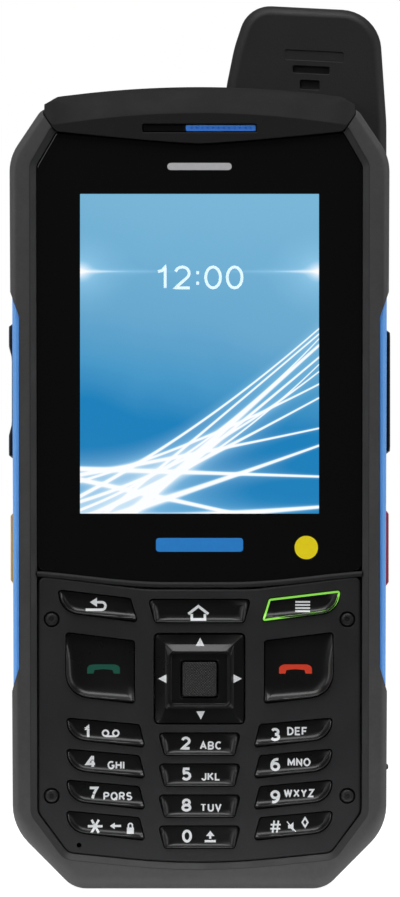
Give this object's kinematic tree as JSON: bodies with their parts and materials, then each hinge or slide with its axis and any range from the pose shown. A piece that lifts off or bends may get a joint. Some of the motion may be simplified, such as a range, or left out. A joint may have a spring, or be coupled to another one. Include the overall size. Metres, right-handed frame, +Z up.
{
  "type": "rugged keypad phone",
  "caption": "Rugged keypad phone with a bumper housing, glass screen, dished keys, side keys, a port flap, a lift-off battery cover and a fixed paddle antenna.",
  "frame": {"origin": "on the ground under the middle of the phone, which stands on its bottom edge", "axes": "+X to the right seen from the front, +Y from the front face to the back, +Z up along the phone"},
  "size_m": [0.0644, 0.025, 0.1489],
  "materials": {
    "bumper": "soft-touch, fine grain",
    "hood": "satin, fine grain",
    "plate": "fine spark-eroded grain",
    "key": "satin",
    "blue": "satin",
    "amber": "satin",
    "red": "satin",
    "glass": "polished, black printed on the back",
    "dark_steel": "black zinc",
    "steel": "plain",
    "rubber": "matte",
    "silicone": "matte",
    "board": "solder mask",
    "battery": "matte",
    "display": "lit picture",
    "magnesium": "die-cast",
    "gold": "plated"
  },
  "bodies": {
    "handset": {"front_housing": "bumper", "rear_housing": "bumper", "housing_seal": "rubber", "top_hood": "hood", "sensor_window": "glass", "earpiece_grille": "blue", "side_strip_left": "blue", "side_strip_right": "blue", "display_lens": "glass", "keypad_plate": "plate", "keypad_screw_1": "dark_steel", "keypad_screw_2": "dark_steel", "keypad_screw_3": "dark_steel", "keypad_screw_4": "dark_steel", "flap_hinge_pin": "steel", "antenna_shell": "rubber", "antenna_element": "gold", "antenna_screw": "dark_steel", "rear_case_screw": "dark_steel", "battery": "battery", "battery_contacts": "gold", "camera_window": "glass", "camera_module": "battery", "main_board": "board", "chassis_frame": "magnesium", "port_connector": "steel", "lcd_module": "display", "key_mat": "silicone", "dome_sheet": "steel", "loudspeaker": "battery", "earpiece_receiver": "steel", "vibration_motor": "steel"},
    "back_key": {"back_key": "key"},
    "home_key": {"home_key": "key"},
    "menu_key": {"menu_key": "key"},
    "call_key": {"call_key": "key"},
    "end_key": {"end_key": "key"},
    "key_1": {"key_1": "key"},
    "key_2": {"key_2": "key"},
    "key_3": {"key_3": "key"},
    "key_4": {"key_4": "key"},
    "key_5": {"key_5": "key"},
    "key_6": {"key_6": "key"},
    "key_7": {"key_7": "key"},
    "key_8": {"key_8": "key"},
    "key_9": {"key_9": "key"},
    "key_star": {"key_star": "key"},
    "key_0": {"key_0": "key"},
    "key_hash": {"key_hash": "key"},
    "ok_key": {"ok_key": "key"},
    "nav_pad": {"nav_pad": "silicone"},
    "nav_ring": {"nav_ring": "key"},
    "volume_rocker": {"volume_rocker": "key"},
    "amber_key": {"amber_key": "amber"},
    "talk_key": {"talk_key": "key"},
    "emergency_key": {"emergency_key": "red"},
    "port_flap": {"port_flap": "rubber"},
    "battery_cover": {"battery_cover": "bumper"},
    "cover_latch_left": {"cover_latch_left": "steel"},
    "cover_latch_right": {"cover_latch_right": "steel"}
  },
  "joints": [
    {"name": "back_key_press", "type": "slide", "parent": "handset", "child": "back_key", "axis": [0, 1, 0], "range_m": [0, 0.0006], "stiffness_N_per_m": 500},
    {"name": "home_key_press", "type": "slide", "parent": "handset", "child": "home_key", "axis": [0, 1, 0], "range_m": [0, 0.0006], "stiffness_N_per_m": 500},
    {"name": "menu_key_press", "type": "slide", "parent": "handset", "child": "menu_key", "axis": [0, 1, 0], "range_m": [0, 0.0006], "stiffness_N_per_m": 500},
    {"name": "call_key_press", "type": "slide", "parent": "handset", "child": "call_key", "axis": [0, 1, 0], "range_m": [0, 0.0006], "stiffness_N_per_m": 500},
    {"name": "end_key_press", "type": "slide", "parent": "handset", "child": "end_key", "axis": [0, 1, 0], "range_m": [0, 0.0006], "stiffness_N_per_m": 500},
    {"name": "key_1_press", "type": "slide", "parent": "handset", "child": "key_1", "axis": [0, 1, 0], "range_m": [0, 0.0006], "stiffness_N_per_m": 500},
    {"name": "key_2_press", "type": "slide", "parent": "handset", "child": "key_2", "axis": [0, 1, 0], "range_m": [0, 0.0006], "stiffness_N_per_m": 500},
    {"name": "key_3_press", "type": "slide", "parent": "handset", "child": "key_3", "axis": [0, 1, 0], "range_m": [0, 0.0006], "stiffness_N_per_m": 500},
    {"name": "key_4_press", "type": "slide", "parent": "handset", "child": "key_4", "axis": [0, 1, 0], "range_m": [0, 0.0006], "stiffness_N_per_m": 500},
    {"name": "key_5_press", "type": "slide", "parent": "handset", "child": "key_5", "axis": [0, 1, 0], "range_m": [0, 0.0006], "stiffness_N_per_m": 500},
    {"name": "key_6_press", "type": "slide", "parent": "handset", "child": "key_6", "axis": [0, 1, 0], "range_m": [0, 0.0006], "stiffness_N_per_m": 500},
    {"name": "key_7_press", "type": "slide", "parent": "handset", "child": "key_7", "axis": [0, 1, 0], "range_m": [0, 0.0006], "stiffness_N_per_m": 500},
    {"name": "key_8_press", "type": "slide", "parent": "handset", "child": "key_8", "axis": [0, 1, 0], "range_m": [0, 0.0006], "stiffness_N_per_m": 500},
    {"name": "key_9_press", "type": "slide", "parent": "handset", "child": "key_9", "axis": [0, 1, 0], "range_m": [0, 0.0006], "stiffness_N_per_m": 500},
    {"name": "key_star_press", "type": "slide", "parent": "handset", "child": "key_star", "axis": [0, 1, 0], "range_m": [0, 0.0006], "stiffness_N_per_m": 500},
    {"name": "key_0_press", "type": "slide", "parent": "handset", "child": "key_0", "axis": [0, 1, 0], "range_m": [0, 0.0006], "stiffness_N_per_m": 500},
    {"name": "key_hash_press", "type": "slide", "parent": "handset", "child": "key_hash", "axis": [0, 1, 0], "range_m": [0, 0.0006], "stiffness_N_per_m": 500},
    {"name": "ok_key_press", "type": "slide", "parent": "handset", "child": "ok_key", "axis": [0, 1, 0], "range_m": [0, 0.0006], "stiffness_N_per_m": 500},
    {"name": "nav_left_right", "type": "hinge", "parent": "handset", "child": "nav_pad", "pos_m": [0, -0.0098, 0.0353], "axis": [0, 0, 1], "range_deg": [-3.5, 3.5], "stiffness_Nm_per_rad": 0.02},
    {"name": "nav_up_down", "type": "hinge", "parent": "nav_pad", "child": "nav_ring", "pos_m": [0, -0.0098, 0.0353], "axis": [1, 0, 0], "range_deg": [-3.5, 3.5], "stiffness_Nm_per_rad": 0.02},
    {"name": "volume_rock", "type": "hinge", "parent": "handset", "child": "volume_rocker", "pos_m": [-0.0297, 0, 0.0836], "axis": [0, 1, 0], "range_deg": [-2, 2], "stiffness_Nm_per_rad": 0.05},
    {"name": "amber_key_press", "type": "slide", "parent": "handset", "child": "amber_key", "axis": [1, 0, 0], "range_m": [0, 0.0005], "stiffness_N_per_m": 600},
    {"name": "talk_key_press", "type": "slide", "parent": "handset", "child": "talk_key", "axis": [-1, 0, 0], "range_m": [0, 0.0005], "stiffness_N_per_m": 600},
    {"name": "emergency_key_press", "type": "slide", "parent": "handset", "child": "emergency_key", "axis": [-1, 0, 0], "range_m": [0, 0.0005], "stiffness_N_per_m": 600},
    {"name": "port_flap_hinge", "type": "hinge", "parent": "handset", "child": "port_flap", "pos_m": [0.0302, -0.00505, 0.0317], "axis": [0, -1, 0], "range_deg": [0, 90]},
    {"name": "battery_cover_lift", "type": "slide", "parent": "handset", "child": "battery_cover", "axis": [0, 1, 0], "range_m": [0, 0.025]},
    {"name": "cover_latch_left_turn", "type": "hinge", "parent": "battery_cover", "child": "cover_latch_left", "pos_m": [-0.0185, 0.0118, 0.0145], "axis": [0, 1, 0], "range_deg": [0, 90]},
    {"name": "cover_latch_right_turn", "type": "hinge", "parent": "battery_cover", "child": "cover_latch_right", "pos_m": [0.0185, 0.0118, 0.0145], "axis": [0, 1, 0], "range_deg": [-90, 0]}
  ]
}
